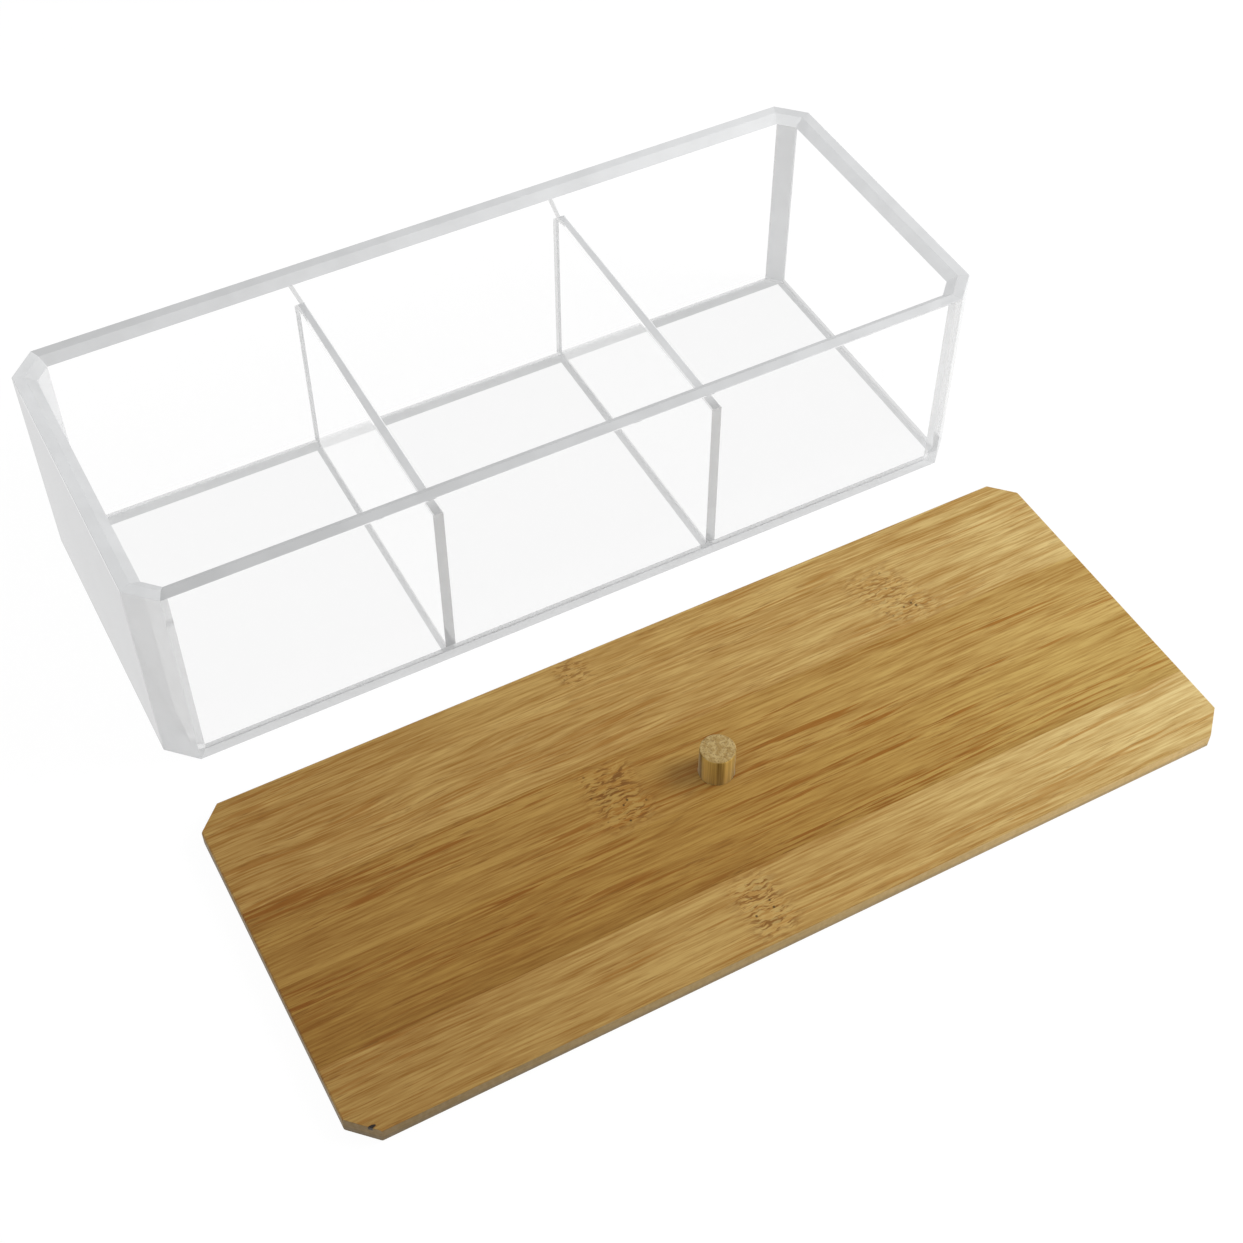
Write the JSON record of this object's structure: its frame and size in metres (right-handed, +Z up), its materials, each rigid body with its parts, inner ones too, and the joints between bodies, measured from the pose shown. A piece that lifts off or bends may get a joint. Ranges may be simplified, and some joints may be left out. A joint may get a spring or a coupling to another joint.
{
  "type": "vanity organizer",
  "caption": "Clear acrylic vanity box with clipped corners, dividers that make open compartments, and a flat laminated bamboo lid with a dowel knob that lifts off.",
  "frame": {"origin": "centre of the underside of the clear box, on the table; the lid lies in front of the box on the same table", "axes": "+X along the long side of the box, +Y from the lid towards the back wall, +Z up"},
  "size_m": [0.259, 0.2282, 0.0655],
  "materials": {
    "clear_acrylic": "clear, polished faces and edges",
    "bamboo": "satin lacquer, grain along the lid",
    "bamboo_pale": "satin lacquer, grain along the lid",
    "bamboo_dark": "satin lacquer, grain along the lid",
    "bamboo_dowel": "satin, end grain on top"
  },
  "bodies": {
    "box": {"floor_plate": "clear_acrylic", "front_wall": "clear_acrylic", "back_wall": "clear_acrylic", "left_wall": "clear_acrylic", "right_wall": "clear_acrylic", "corner_front_left": "clear_acrylic", "corner_front_right": "clear_acrylic", "corner_back_left": "clear_acrylic", "corner_back_right": "clear_acrylic", "divider_left": "clear_acrylic", "divider_right": "clear_acrylic"},
    "lid": {"lid_strip_1": "bamboo", "lid_strip_2": "bamboo_pale", "lid_strip_3": "bamboo", "lid_strip_4": "bamboo_dark", "lid_strip_5": "bamboo_pale", "lid_knob": "bamboo_dowel"}
  },
  "joints": [
    {"name": "lid_lift", "type": "slide", "parent": "box", "child": "lid", "axis": [0, 0, 1], "range_m": [0, 0.1]}
  ]
}
